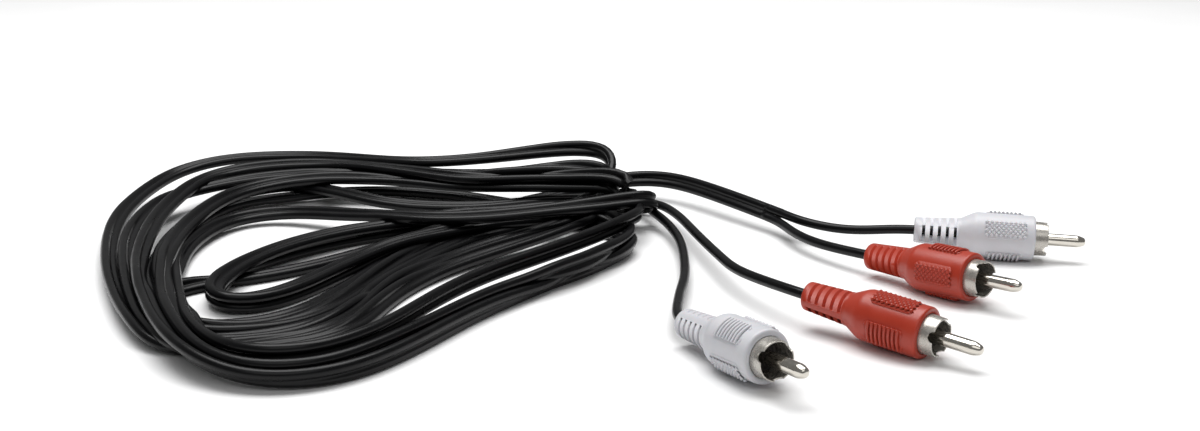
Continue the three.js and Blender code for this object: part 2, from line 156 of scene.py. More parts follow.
# Middle line of the twin from the far split round the hank to the near split: x, y, z and, in
# degrees, the twin's turn about its own line, 0 where it lies flat and 90 where it stands on edge
TWIN_ROUTE = [
    # Free tail from the far split
    (-21.4, 71.4, 5.2, 62), (-27.1, 78.9, 5.8, 62), (-36.6, 92, 6.4, 62), (-46.4, 105.7, 6.6, 62),
    (-56.4, 114.2, 6.4, 62),
    # Across under the hank
    (-68.6, 114.1, 5, 40), (-83.8, 107.4, 2.6, 0), (-101, 90.9, 1.4, 0), (-121.4, 65.4, 1.4, 0),
    (-142, 40.8, 1.4, 0), (-157.3, 27.9, 1.4, 0), (-169.7, 22.4, 1.6, 0),
    # Left turn on the table and back along the near side
    (-177.1, 16.1, 2.6, 40), (-178.8, 6.1, 2.6, 60), (-175.3, -8.3, 2.6, 70), (-168.3, -19, 2.6, 40),
    (-160.1, -19.5, 1.6, 0), (-151.9, -17, 1.4, 0), (-139.4, -12.4, 1.4, 0), (-132.2, -1.4, 1.4, 0),
    (-124.3, 25.4, 1.4, 0), (-118.5, 40.8, 1.4, 0), (-112, 54, 1.6, 0), (-104.7, 64, 1.8, 0),
    (-88.8, 79.8, 2.6, 0), (-76.1, 92.5, 4, 30),
    # Right end, topmost
    (-69.9, 100.6, 6.5, 60), (-67.2, 105, 8.8, 80), (-66.3, 105.4, 11.8, 80),
    # Outermost turn: far side, left end, near side
    (-67.1, 105.2, 14.6, 80), (-70.5, 113.7, 15.3, 80), (-80.9, 115.9, 15.2, 60), (-90, 114.1, 14.6, 40),
    (-99, 110.5, 14, 25), (-107.9, 108.3, 13.5, 10), (-119.8, 106.6, 12.8, 10), (-132.3, 109.8, 12, 10),
    (-145.8, 118.1, 11, 10), (-159.5, 125.3, 10.3, 10), (-172.5, 127.5, 9.8, 10), (-185, 127, 9.5, 10),
    (-191, 125.7, 9, 10), (-197, 124.4, 8, 10), (-201.7, 119.7, 7.3, 10), (-205.3, 110.1, 6.3, 10),
    (-207, 99.1, 5.5, 10), (-207.9, 89.8, 5, 10), (-207.6, 76.8, 4.3, 20), (-205.5, 63.7, 3.6, 30),
    (-202.5, 51.1, 3, 40), (-198.2, 37.4, 3, 40), (-193.8, 24.5, 3, 40), (-188.7, 12.5, 3, 40),
    (-183.8, 1.2, 3, 40), (-178.3, -9.5, 3, 40), (-173.2, -18.2, 3, 30), (-168.7, -23.2, 2.6, 20),
    (-162.7, -26.3, 2, 0), (-156.5, -24.9, 1.5, 0), (-150.9, -20.2, 1.4, 0), (-138.3, -18.3, 1.4, 0),
    (-131.1, -8.3, 1.4, 0), (-123.3, 18.6, 1.4, 0), (-117.7, 33.4, 1.4, 0), (-111, 43.8, 1.6, 0),
    (-103.8, 52.6, 2, 0), (-96.3, 60.6, 2.2, 0), (-88.3, 67.2, 2.6, 0), (-75.2, 83.4, 3.4, 30),
    # Right end, just below the topmost
    (-69.9, 95.7, 5, 60), (-67, 96.6, 7.5, 80), (-66.1, 93.5, 11, 80),
    # Second turn from outside
    (-67.6, 90.4, 14, 75), (-71.7, 93.3, 14.5, 60), (-80.5, 96.9, 13.8, 40), (-89.3, 95.2, 13, 15),
    (-98.1, 94.3, 12, 15), (-107.2, 97.8, 11, 15), (-116.3, 100.1, 10, 15), (-132.1, 107.4, 9, 15),
    (-150.8, 110.3, 8.6, 15), (-162.8, 109.6, 8.3, 15), (-172.9, 107, 8, 15), (-179.9, 104.8, 7.6, 15),
    (-185.8, 101.7, 7, 15), (-190.5, 99, 6.6, 15), (-195.4, 98.3, 6, 15), (-198.2, 92.2, 5.6, 15),
    (-199.8, 83.4, 5.2, 15), (-200.1, 72.8, 4.8, 20), (-199.5, 62.2, 4.3, 30), (-197.1, 49.6, 4, 40),
    (-193.5, 36.5, 3.8, 45), (-189.3, 24.3, 3.6, 45), (-184.6, 11.3, 3.4, 45), (-180.9, 2, 3.2, 45),
    (-176.4, -7.4, 3, 45), (-172.8, -14.3, 2.8, 40), (-169.3, -20.3, 2.6, 30), (-165.6, -24.9, 2.4, 20),
    (-160, -28.1, 2, 0), (-153.3, -27.7, 1.6, 0), (-146.6, -22.8, 1.4, 0), (-137.5, -22.2, 1.4, 0),
    (-129.9, -15.1, 1.4, 0), (-122.4, 11.9, 1.4, 0), (-116.9, 26.5, 1.6, 0), (-110.2, 35.1, 1.8, 0),
    (-103.1, 43.1, 2.2, 0), (-95.7, 50.6, 2.6, 0), (-88, 57.8, 3, 10), (-74.5, 73.3, 3.8, 40),
    # Right end, third, upper
    (-67.3, 88.3, 5.4, 60), (-62.5, 85.9, 8.4, 80), (-60.3, 83.4, 11.4, 80),
    # High turn over the others at the left, lowest strand of the near side
    (-60.7, 83.9, 13.5, 80), (-64.5, 85.9, 13.6, 70), (-71.7, 89.3, 13, 60), (-80.4, 91.9, 12.3, 40),
    (-89.3, 93.5, 11.6, 20), (-98.1, 95.1, 11, 20), (-107, 95.1, 10.6, 20), (-116, 97.6, 10.3, 20),
    (-125.6, 103.6, 10, 20), (-135.3, 108.8, 10, 20), (-151.6, 115.6, 9.8, 20), (-164.5, 118.6, 9.5, 20),
    (-175, 117.2, 9, 20), (-182.3, 115.1, 8.7, 20), (-188.6, 109.4, 8.2, 20), (-191.3, 102.2, 7.8, 20),
    (-193.2, 95.8, 7.4, 20), (-194.2, 85.6, 7, 20), (-194.3, 73.7, 6.6, 20), (-193.6, 62.2, 6.3, 30),
    (-192, 50.3, 6, 40), (-189.6, 37, 5.8, 50), (-187.2, 27.1, 5.6, 55), (-183.9, 16.3, 5.6, 55),
    (-179.2, 3.9, 5.8, 50), (-174.5, -7.7, 6, 45), (-169.4, -18.6, 6.2, 40), (-163.9, -29.3, 6.3, 40),
    (-158.8, -37, 6, 45), (-154.6, -40.1, 4.5, 50), (-149.6, -43.5, 3.6, 50), (-143.1, -45.6, 3, 45),
    (-134.9, -45.7, 2.6, 60), (-125.3, -42.3, 2.6, 75), (-116.4, -31.8, 2.6, 80),
    (-111.1, -22.6, 2.6, 80), (-105.6, -12.1, 2.6, 80), (-99.7, -0.2, 2.6, 80), (-93.2, 9.1, 2.6, 80),
    (-86.4, 17.3, 2.6, 80), (-79.2, 26.4, 2.6, 80), (-71.7, 36, 2.6, 80), (-66.5, 44.3, 2.8, 80),
    # Right end, on the table
    (-62.1, 52.3, 3.2, 80), (-61.4, 57.1, 3.2, 80),
    # Turn hidden under the others
    (-65.1, 63.2, 2.6, 60), (-71.7, 71.4, 2, 20), (-89.3, 92.4, 1.6, 0), (-108, 106.4, 1.6, 0),
    (-127, 113, 1.8, 0), (-139.4, 114.1, 2, 0), (-149.7, 111.6, 2.3, 0), (-162.6, 107, 2.4, 0),
    (-170.4, 100.9, 2.4, 0), (-179.1, 99.8, 2.4, 0), (-183, 93.9, 2.4, 0), (-185.4, 83.8, 2.4, 0),
    (-186.6, 70, 2.4, 0), (-187, 55.1, 2.4, 20), (-186, 40.5, 2.6, 40), (-183.8, 26.6, 2.6, 50),
    (-179.4, 12.2, 2.6, 60), (-174, 0.2, 2.6, 50), (-168.1, -7.7, 2.4, 30), (-161.2, -10.8, 1.8, 0),
    (-153.4, -10.4, 1.4, 0), (-141.8, -0.3, 1.4, 0), (-134.9, 14.6, 1.4, 0), (-126.6, 42.6, 1.4, 0),
    (-121.1, 62.4, 1.4, 0), (-113.6, 70.6, 1.8, 0), (-100, 75.5, 2.6, 0), (-83.1, 79, 4, 0),
    (-66, 78.1, 6, 40),
    # Right end, furthest out
    (-56.9, 80, 5.5, 80), (-52.3, 81.4, 6.6, 80), (-52.4, 79.6, 8.4, 80),
    # Innermost turn, its near side on edge on top
    (-55.9, 76.5, 9.8, 80), (-66.1, 73, 9.4, 60), (-71.7, 71.2, 9, 40), (-80, 68.9, 8.6, 20),
    (-88.2, 66.7, 8.2, 20), (-96.4, 63.7, 8, 20), (-104.4, 61.5, 7.8, 20), (-112.6, 61.8, 7.4, 20),
    (-121.1, 64.5, 6.8, 20), (-130, 69, 6, 20), (-145.1, 76.1, 4.8, 20), (-157.8, 82.5, 3.8, 20),
    (-169, 83.8, 3, 20), (-174.7, 79.4, 3, 20), (-177.5, 75.2, 3, 20), (-180.2, 65.8, 3, 20),
    (-181.5, 56.9, 3, 30), (-181.8, 48.3, 3, 40), (-180.7, 37.4, 3, 50), (-177.7, 24.5, 3, 60),
    (-173.9, 11.9, 3.2, 60), (-169.3, -0.6, 3.6, 60), (-164, -12.9, 4.2, 60), (-158.9, -23.4, 5, 60),
    (-153.1, -33.1, 6, 60), (-147, -39.9, 6.5, 65), (-141.9, -42.5, 6.5, 70), (-133.4, -41.6, 6.5, 75),
    (-126.1, -36.3, 6.5, 80), (-117.4, -23.1, 6.5, 80), (-112.4, -10.6, 6.5, 80), (-106.8, 1.8, 6.5, 80),
    (-100.6, 12.6, 6.5, 80), (-93.9, 20.8, 6.8, 80), (-86.8, 28.5, 7, 80), (-79.4, 37.4, 7.2, 80),
    (-71.7, 47, 7.5, 80), (-64.9, 57.8, 7.5, 80),
    # Right end, near, upper
    (-59.8, 67.2, 7.2, 80), (-59.9, 75.6, 6.4, 80),
    # Turn under the far side's middle
    (-64.5, 83.4, 5.2, 60), (-71.7, 91, 4.4, 30), (-80.6, 96, 4, 10), (-89.3, 93.2, 3.8, 10),
    (-98, 90, 3.6, 10), (-106.6, 88.3, 3.6, 10), (-115.2, 87.5, 3.8, 10), (-123.8, 86.6, 4.2, 10),
    (-132.6, 87.9, 4.6, 10), (-139, 91.4, 4.9, 10), (-145.6, 96.1, 5.2, 10), (-152.4, 101.3, 5.4, 10),
    (-159.6, 107.8, 5, 10), (-169.6, 112.1, 4.4, 10), (-176.6, 109.3, 4, 10), (-180.8, 101.1, 3.6, 10),
    (-184.1, 90.2, 3.4, 10), (-186.4, 76.6, 3.2, 10), (-187.1, 61.8, 3, 20), (-186.8, 47.1, 2.8, 30),
    (-185, 34.3, 2.6, 40), (-181.8, 21.7, 2.6, 50), (-177, 9.1, 2.6, 50), (-171, -4.1, 2.6, 40),
    (-164.8, -13.2, 2.4, 20), (-156.5, -14.3, 1.6, 0), (-152.6, -13.7, 1.4, 0), (-140.6, -6.3, 1.4, 0),
    (-133.7, 7, 1.4, 0), (-125.6, 35.6, 1.4, 0), (-120, 53.2, 1.4, 0), (-112.9, 62.7, 1.6, 0),
    (-105.3, 71.4, 2, 0), (-88.9, 82.7, 3, 10), (-71.7, 90.2, 4, 40),
    # Right end, third, lower
    (-65.3, 91, 5, 60), (-61, 88.3, 7.2, 80), (-59.9, 86.7, 9.4, 80),
    # Second high turn
    (-61.3, 85.6, 11, 80), (-65.9, 85.6, 11, 70), (-71.7, 87.2, 10.3, 50), (-80.4, 90.6, 9.6, 35),
    (-89.3, 92.7, 9, 20), (-98.1, 93.4, 8.6, 20), (-107, 94.6, 8.3, 20), (-116.1, 97.4, 8, 20),
    (-125.4, 101.3, 8, 20), (-134.8, 104.5, 8, 20), (-150.2, 107, 8, 20), (-162, 105.5, 7.8, 20),
    (-171.4, 100.1, 7.4, 20), (-175.1, 96.6, 7.2, 20), (-178, 93.8, 7, 20), (-180.4, 88.1, 6.8, 20),
    (-182.3, 79.2, 6.6, 20), (-183.4, 71.6, 6.3, 20), (-184.2, 63.8, 6, 20), (-184.2, 53.9, 5.8, 30),
    (-183.3, 42.2, 5.6, 40), (-181, 29.1, 5.5, 50), (-177.9, 16.6, 5.5, 50), (-174.3, 4.5, 5.6, 50),
    (-170.2, -7.1, 5.8, 50), (-165.7, -18.1, 6, 50), (-161.8, -25.9, 6, 50), (-157.5, -33.5, 5.8, 50),
    (-154.1, -37.5, 5.4, 50), (-151.2, -40.3, 5, 45), (-146.4, -43.2, 4.6, 40), (-141.5, -45, 4.4, 40),
    (-133.1, -44.2, 4.2, 50), (-125.8, -39, 4.2, 65), (-117, -27.3, 4.2, 75), (-111.5, -18.6, 4.2, 80),
    (-105.8, -8.8, 4.2, 80), (-99.8, 1, 4.3, 80), (-93.2, 9.4, 4.5, 80), (-86.4, 17.1, 4.7, 80),
    (-79.2, 24.8, 5, 80), (-71.7, 34.6, 5, 80), (-66.5, 45, 4.8, 80),
    # Right end, on the one on the table
    (-62.3, 54.6, 4.5, 80), (-62.4, 60.9, 4.4, 80),
    # Short inner turn, upper one: upper run
    (-68.9, 73.9, 4.5, 50), (-77.4, 81.6, 4.5, 20), (-100.3, 81.6, 3.9, 10), (-114.1, 75.8, 4, 10),
    (-122.1, 72.2, 4.1, 10), (-132.4, 65.9, 4.4, 10), (-141.5, 57.9, 4.8, 10), (-150.8, 47.3, 5.2, 10),
    (-158.6, 34.5, 5.2, 10), (-163, 23.1, 5, 10), (-165, 13.2, 4.8, 30),
    # Its lower run
    (-164.9, 5.3, 4.6, 50), (-161.4, 0.4, 4, 20), (-156.9, 0.3, 3.9, 5), (-151.8, 3.7, 3.9, 5),
    (-144.3, 13.2, 3.9, 5), (-137.4, 29.6, 3.9, 5), (-127.2, 47.4, 3.8, 5), (-112.8, 62.4, 3.4, 5),
    (-94.3, 75.5, 3.2, 5), (-74.6, 86.8, 3.4, 20), (-63.5, 91.3, 4, 50), (-59.9, 96.4, 4.2, 70),
    (-62.7, 103.1, 4, 60),
    # Short inner turn, lower one: upper run
    (-71.7, 98.3, 3.4, 20), (-83.6, 97, 1.6, 10), (-100.7, 86, 1.5, 10), (-122.2, 72.2, 1.5, 10),
    (-142, 59.7, 1.6, 10), (-155.8, 44.9, 1.8, 10), (-163.3, 31.9, 2, 10), (-165.6, 19.1, 2.4, 40),
    # Its lower run, to the near split
    (-164.5, 6.8, 2.6, 50), (-161.3, 1.4, 1.8, 20), (-157.3, 1.2, 1.4, 0), (-152.1, 4.1, 1.4, 0),
    (-144.5, 13.9, 1.4, 0), (-137.5, 30, 1.4, 0), (-127.3, 48.1, 1.4, 0), (-120.4, 56.6, 1.4, 0),
    (-113, 64.4, 1.4, 0), (-105.3, 71.5, 1.4, 0), (-83.2, 82.4, 1.6, 0), (-71.7, 90.1, 2.2, 30),
    (-66.4, 94.2, 2.8, 30), (-62.3, 95.4, 3.4, 20), (-59.7, 92.7, 3.8, 10),
]

# Free leads, from the twin's end to the strain relief
LEAD_ROUTES = {
    "near_white": [(-58.4, 88, 4), (-56.4, 81, 4), (-53.1, 70.6, 3.8), (-50.3, 54.2, 3.5),
                   (-50, 35.6, 3.2), (-50.9, 20.6, 3.2), (-52.7, 7.6, 3.6)],
    "near_red": [(-54.4, 89.6, 4), (-52, 84, 4.2), (-49.4, 74.5, 4.5), (-45.3, 52.6, 5),
                 (-41.5, 33.6, 5.5), (-38.1, 19.3, 6)],
    "far_red": [(-19.6, 61.6, 4), (-17.4, 54.6, 4.2), (-13.6, 47.5, 4.3)],
    "far_white": [(-17, 64.9, 6), (-11.7, 61.2, 5.5), (-4.2, 56.8, 5.5)],
}

# Plugs: colour, heading, nose lift and turn about the own axis, as in the part's source
PLUGS = {
    "near_white": (white_pvc, -60.7, 3.8, 37),
    "near_red": (red_pvc, -41.5, -3.5, -76),
    "far_red": (red_pvc, -48.6, 3, -5),
    "far_white": (white_pvc, -10.6, -1.5, -33),
}
PIN_TIP = 44.0  # from the strain relief's rear end along the plug's axis
LEAD_DEPTH = 13.0


def smooth_route(points, step):
    """Points a fixed step apart on a centripetal Catmull-Rom curve through the given ones."""
    points = np.asarray(points, float)
    ends = np.vstack([2 * points[0] - points[1], points, 2 * points[-1] - points[-2]])
    dense = []
    for p0, p1, p2, p3 in zip(ends, ends[1:], ends[2:], ends[3:]):
        t0 = 0.0
        t1 = t0 + np.linalg.norm((p1 - p0)[:3]) ** 0.5
        t2 = t1 + np.linalg.norm((p2 - p1)[:3]) ** 0.5
        t3 = t2 + np.linalg.norm((p3 - p2)[:3]) ** 0.5
        t = np.linspace(t1, t2, 24, endpoint=False)[:, None]
        a1 = (t1 - t) / (t1 - t0) * p0 + (t - t0) / (t1 - t0) * p1
        a2 = (t2 - t) / (t2 - t1) * p1 + (t - t1) / (t2 - t1) * p2
        a3 = (t3 - t) / (t3 - t2) * p2 + (t - t2) / (t3 - t2) * p3
        b1 = (t2 - t) / (t2 - t0) * a1 + (t - t0) / (t2 - t0) * a2
        b2 = (t3 - t) / (t3 - t1) * a2 + (t - t1) / (t3 - t1) * a3
        dense.append((t2 - t) / (t2 - t1) * b1 + (t - t1) / (t2 - t1) * b2)
    dense.append(points[-1:])
    return evenly(np.vstack(dense), step)


def evenly(line, step):
    """The same line with its points a fixed step apart."""
    along = np.concatenate([[0], np.cumsum(np.linalg.norm(np.diff(line[:, :3], axis=0), axis=1))])
    places = np.linspace(0, along[-1], max(2, round(along[-1] / step)) + 1)
    return np.stack([np.interp(places, along, line[:, k]) for k in range(line.shape[1])], axis=1)


def smoothed(line, reach, times):
    """Each point moved towards the mean of its neighbours, with the two ends kept."""
    line = line.copy()
    weights = np.hanning(2 * reach + 3)[1:-1]
    weights /= weights.sum()
    for _ in range(times):
        padded = np.vstack([2 * line[0] - line[reach:0:-1], line, 2 * line[-1] - line[-2:-2 - reach:-1]])
        line = np.stack([np.convolve(padded[:, k], weights, mode="valid")
                         for k in range(line.shape[1])], axis=1)
    return line


def eased(line, tightest):
    """Opens every bend that is sharper than the given radius."""
    line = line.copy()
    for _ in range(150):
        step = np.linalg.norm(line[2:, :3] - line[:-2, :3], axis=1, keepdims=True) / 2
        off = (line[:-2] + line[2:]) / 2 - line[1:-1]
        size = np.linalg.norm(off[:, :3], axis=1, keepdims=True) + 1e-9
        line[1:-1] += 0.5 * off * np.clip(1 - step ** 2 / (2 * tightest) / size, 0, 1)
    return line


def directions(line):
    """The line's direction at each point."""
    tangent = np.gradient(line, axis=0)
    return tangent / np.linalg.norm(tangent, axis=1, keepdims=True)


def lay_twin(route):
    """Lays the twin cord: two chains of beads side by side that keep their length, push each
    other apart where they touch, rest on the table and stay near the route."""
    middle = smoothed(smooth_route(route, STEP), 2, 2)
    tilt = np.radians(middle[:, 3:])
    middle = middle[:, :3]
    count = len(middle)
    tangent = directions(middle)
    side = np.cross(tangent, (0, 0, 1))
    side /= np.linalg.norm(side, axis=1, keepdims=True)
    up = np.cross(side, tangent)
    across = np.cos(tilt) * side + np.sin(tilt) * up
    beads = np.vstack([middle + across * CORE_GAP / 2, middle - across * CORE_GAP / 2])
    sight = middle - np.array(camera.location) / MM
    sight /= np.linalg.norm(sight, axis=1, keepdims=True)
    a, b = slice(0, count), slice(count, 2 * count)
    contact = 2 * LEAD_R
    section = np.arange(2 * count) % count

    def tie(first, second, length, strength):
        gap = beads[second] - beads[first]
        size = np.linalg.norm(gap, axis=1, keepdims=True)
        move = 0.5 * strength * (size - length) / size * gap
        beads[first] += move
        beads[second] -= move

    even = np.arange(0, count - 1, 2)
    odd = np.arange(1, count - 1, 2)
    for turn in range(ROUNDS):
        if turn % 10 == 0:
            square = (beads ** 2).sum(axis=1)
            apart = square[:, None] + square[None, :] - 2 * beads @ beads.T
            bead, start = np.nonzero(apart < (contact + 3.0) ** 2)
            keep = (np.abs(section[bead] - section[start]) > 4) & (section[start] < count - 1)
            bead, start = bead[keep], start[keep]
        # Held near the route, less firmly along the line of sight than across it
        off = middle - (beads[a] + beads[b]) / 2
        along = (off * sight).sum(axis=1, keepdims=True) * sight
        hold = HOLD_ACROSS * (off - along) + HOLD_ALONG * along
        beads[a] += hold
        beads[b] += hold
        # The twin's turn is held too, because a stiff web resists twist
        spread = (across * CORE_GAP - (beads[a] - beads[b])) / 2
        beads[a] += HOLD_TURN * spread
        beads[b] -= HOLD_TURN * spread
        beads[:, 2] -= SINK
        for chain in (a, b):
            line = beads[chain]
            line[2:-2] -= STIFFNESS * (
                line[:-4] - 4 * line[1:-3] + 6 * line[2:-2] - 4 * line[3:-1] + line[4:])
        for _ in range(2):
            for base in (0, count):
                for links in (even, odd):
                    tie(base + links, base + links + 1, STEP, 0.3)
            tie(np.arange(count), np.arange(count, 2 * count), CORE_GAP, 1.0)
        # Touching sheaths push apart: each bead against the stretch from one bead to the next
        base, reach = beads[start], beads[start + 1] - beads[start]
        share = ((beads[bead] - base) * reach).sum(axis=1) / (reach ** 2).sum(axis=1)
        share = np.clip(share, 0, 1)[:, None]
        gap = beads[bead] - base - share * reach
        size = np.linalg.norm(gap, axis=1, keepdims=True) + 1e-6
        push = PUSH * np.clip(contact - size, 0, None) / size * gap
        moves = np.zeros_like(beads)
        np.add.at(moves, bead, 0.5 * push)
        np.add.at(moves, start, -0.5 * (1 - share) * push)
        np.add.at(moves, start + 1, -0.5 * share * push)
        moves *= np.minimum(1, LONGEST_PUSH / (np.linalg.norm(moves, axis=1, keepdims=True) + 1e-9))
        beads += moves
        beads[:, 2] = np.maximum(beads[:, 2], LEAD_R)
    # A last smoothing along the length takes out small kinks
    line = smoothed(np.hstack([beads[a], beads[b]]), 2, 2)
    core_a, core_b = line[:, :3], line[:, 3:]
    core_a[:, 2] = np.maximum(core_a[:, 2], LEAD_R)
    core_b[:, 2] = np.maximum(core_b[:, 2], LEAD_R)
    return core_a, core_b


def swept(name, middle, across, outline, material):
    """A tube with the given outline (across, up) carried along a line, with flat ends."""
    tangent = directions(middle)
    across = across - (across * tangent).sum(axis=1, keepdims=True) * tangent
    across /= np.linalg.norm(across, axis=1, keepdims=True)
    up = np.cross(tangent, across)
    rings = middle[:, None] + outline[None, :, :1] * across[:, None] + outline[None, :, 1:] * up[:, None]
    rings[..., 2] = np.maximum(rings[..., 2], 0.03)  # pressed flat where it lies on the table
    count, sides = rings.shape[:2]
    faces = []
    for i in range(count - 1):
        for k in range(sides):
            j = (k + 1) % sides
            faces.append((i * sides + k, i * sides + j, (i + 1) * sides + j, (i + 1) * sides + k))
    faces.append(tuple(reversed(range(sides))))
    faces.append(tuple(range((count - 1) * sides, count * sides)))
    mesh = bpy.data.meshes.new(name)
    mesh.from_pydata((rings.reshape(-1, 3) * MM).tolist(), [], faces)
    mesh.polygons.foreach_set("use_smooth", [True] * (len(faces) - 2) + [False] * 2)
    fix = bmesh.new()
    fix.from_mesh(mesh)
    bmesh.ops.recalc_face_normals(fix, faces=fix.faces)
    fix.to_mesh(mesh)
    fix.free()
    mesh.materials.append(material)
    return placed(name, mesh)


def round_outline(sides=20):
    angles = np.arange(sides) * 2 * np.pi / sides
    return LEAD_R * np.stack([np.cos(angles), np.sin(angles)], axis=1)


def twin_outline(points=13):
    """Two round sheaths joined by a narrow web, with a groove on each side."""
    angles = np.radians(np.linspace(-150, 150, points))
    lobe = LEAD_R * np.stack([np.cos(angles), np.sin(angles)], axis=1)
    return np.vstack([lobe + (CORE_GAP / 2, 0), -lobe - (CORE_GAP / 2, 0)])


core_a, core_b = lay_twin(TWIN_ROUTE)
fine = smooth_route(np.hstack([(core_a + core_b) / 2, core_a - core_b]), FINE_STEP)
fine = evenly(eased(fine, TIGHTEST_BEND), FINE_STEP)
twin_middle, twin_across = fine[:, :3], fine[:, 3:]
twin_across *= CORE_GAP / np.linalg.norm(twin_across, axis=1, keepdims=True)
# Lifted wherever the easing let a sheath into the table
low = np.maximum(0, LEAD_R + 0.5 * np.abs(twin_across[:, 2]) - twin_middle[:, 2])
twin_middle[:, 2] += low
core_a, core_b = twin_middle + twin_across / 2, twin_middle - twin_across / 2
twin = swept("twin_cord", twin_middle, twin_across, twin_outline(), cord_pvc)
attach(twin, "root")
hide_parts("cable_hank", "far_twin_tail")


# Plugs, in their own frame: X along the pin from the strain relief's rear end, windows on both
# sides along Y, ribbed pads on both sides along Z

RELIEF_LENGTH, RELIEF_REAR_R, RELIEF_FRONT_R = 11.8, 3.35, 3.95
BODY_START, BODY_FRONT, BODY_R = 15.7, 30.9, 5.9
WINDOW_COUNT, WINDOW_WIDTH, WINDOW_PITCH, WINDOW_FIRST, WINDOW_SPAN = 5, 0.9, 2.05, 2.4, 154
WINDOW_INNER, WINDOW_OUTER = 0.7, 6.0  # radii that the windows' cutter reaches between
RIB_COUNT, RIB_PITCH, RIB_HALF, RIB_SPAN = 8, 1.05, 0.33, 50
PAD_LENGTH, STUD, PAD_ROWS = 9.0, 0.6, 7  # diamond grip: its length, half a diamond, rows
PAD_RISE = 0.28  # a grip's plate above the body
RIB_PLATE, STUD_PLATE = (9.6, 50), (10.2, 52)  # length, and degrees round the body
BODY_MIDDLE = 23.2  # of the grips, along the plug
SHELL_REAR, SHELL_RIM, SHELL_BASE_R, SHELL_RIM_R, SHELL_WALL = 26.7, 34.2, 4.5, 4.35, 0.35
NOTCH_COUNT, NOTCH_R = 3, 1.2
PIN_R = 1.6
# Start, end and radius of the bores for the lead, the shell and the pin's tail
BORES = ((-1, LEAD_DEPTH + 0.3, LEAD_R + 0.12), (SHELL_REAR - 0.3, BODY_FRONT + 1, SHELL_BASE_R + 0.1),
         (20, BODY_FRONT, 1.6))


def rounded(corners):
    """(along, radius, fillet) corners of a profile, with each fillet drawn as a short curve."""
    points = [np.array(corner[:2], float) for corner in corners]
    line = [points[0]]
    for before, here, after, corner in zip(points, points[1:], points[2:], corners[1:]):
        into, out_of = before - here, after - here
        start = here + into / np.linalg.norm(into) * corner[2]
        end = here + out_of / np.linalg.norm(out_of) * corner[2]
        for t in (np.linspace(0, 1, 6) if corner[2] else [0.5]):
            line.append((1 - t) ** 2 * start + 2 * t * (1 - t) * here + t ** 2 * end)
    return line + [points[-1]]


def turned(name, profile, material, sides=72):
    """A solid turned about X from (along, radius) points; a ring where it comes back to its start."""
    solid = bmesh.new()
    rings = []
    for along, radius in profile:
        angles = [2 * math.pi * k / sides for k in range(sides)] if radius > 1e-6 else [0.0]
        rings.append([solid.verts.new((along, radius * math.cos(a), radius * math.sin(a))) for a in angles])
    if np.allclose(profile[0], profile[-1]):
        for vertex in rings.pop():
            solid.verts.remove(vertex)
        rings.append(rings[0])
    for first, second in zip(rings, rings[1:]):
        for k in range(sides):
            j = (k + 1) % sides
            corners = [first[k % len(first)], first[j % len(first)],
                       second[j % len(second)], second[k % len(second)]]
            corners = list(dict.fromkeys(corners))
            if len(corners) > 2:
                solid.faces.new(corners)
    return new_piece(name, solid, material)


def new_piece(name, solid, material):
    """A smooth-shaded object from a solid that is ready."""
    bmesh.ops.recalc_face_normals(solid, faces=solid.faces)
    mesh = bpy.data.meshes.new(name)
    solid.to_mesh(mesh)
    solid.free()
    mesh.polygons.foreach_set("use_smooth", [True] * len(mesh.polygons))
    mesh.materials.append(material)
    return placed(name, mesh)


def settle(piece):
    """Turns what the modifiers make into the piece's own plain mesh."""
    shown = piece.evaluated_get(bpy.context.evaluated_depsgraph_get())
    mesh = bpy.data.meshes.new_from_object(shown)
    piece.modifiers.clear()
    piece.data = mesh
    return piece


def carve(body, cutter):
    """Cuts one shape out of another and removes it."""
    cut = body.modifiers.new("cut", "BOOLEAN")
    cut.operation, cut.solver, cut.object = "DIFFERENCE", "EXACT", cutter
    settle(body)
    bpy.data.objects.remove(cutter)


def soften(body, width):
    """Small rounded edges all over, as a mould leaves them."""
    edge = body.modifiers.new("edges", "BEVEL")
    edge.width, edge.segments = width, 2
    edge.limit_method, edge.angle_limit = "ANGLE", math.radians(38)
    edge.harden_normals = True
    return settle(body)


def window_cutter():
    """Ring sectors that cut the windows through the strain relief on both sides."""
    solid = bmesh.new()
    angles = np.radians(np.linspace(-WINDOW_SPAN / 2, WINDOW_SPAN / 2, 13))
    for side in (0, math.pi):
        for i in range(WINDOW_COUNT):
            middle = WINDOW_FIRST + i * WINDOW_PITCH
            rings = []
            for a in angles + side:
                rings.append([solid.verts.new((x, r * math.cos(a), r * math.sin(a))) for x, r in (
                    (middle - WINDOW_WIDTH / 2, WINDOW_INNER), (middle + WINDOW_WIDTH / 2, WINDOW_INNER),
                    (middle + WINDOW_WIDTH / 2, WINDOW_OUTER), (middle - WINDOW_WIDTH / 2, WINDOW_OUTER))])
            for first, second in zip(rings, rings[1:]):
                for k in range(4):
                    solid.faces.new((first[k], first[(k + 1) % 4], second[(k + 1) % 4], second[k]))
            solid.faces.new(rings[0])
            solid.faces.new(rings[-1])
    return new_piece("window_cutter", solid, insulator_plastic)


def new_tree(name, sizes):
    """A geometry tree with a material input and one named input for each size."""
    tree = bpy.data.node_groups.new(name, "GeometryNodeTree")
    tree.interface.new_socket("Geometry", in_out="INPUT", socket_type="NodeSocketGeometry")
    tree.interface.new_socket("Geometry", in_out="OUTPUT", socket_type="NodeSocketGeometry")
    tree.interface.new_socket("Material", in_out="INPUT", socket_type="NodeSocketMaterial")
    for size in sizes:
        tree.interface.new_socket(size, in_out="INPUT", socket_type="NodeSocketFloat")
    return tree, add_node(tree, "NodeGroupInput")


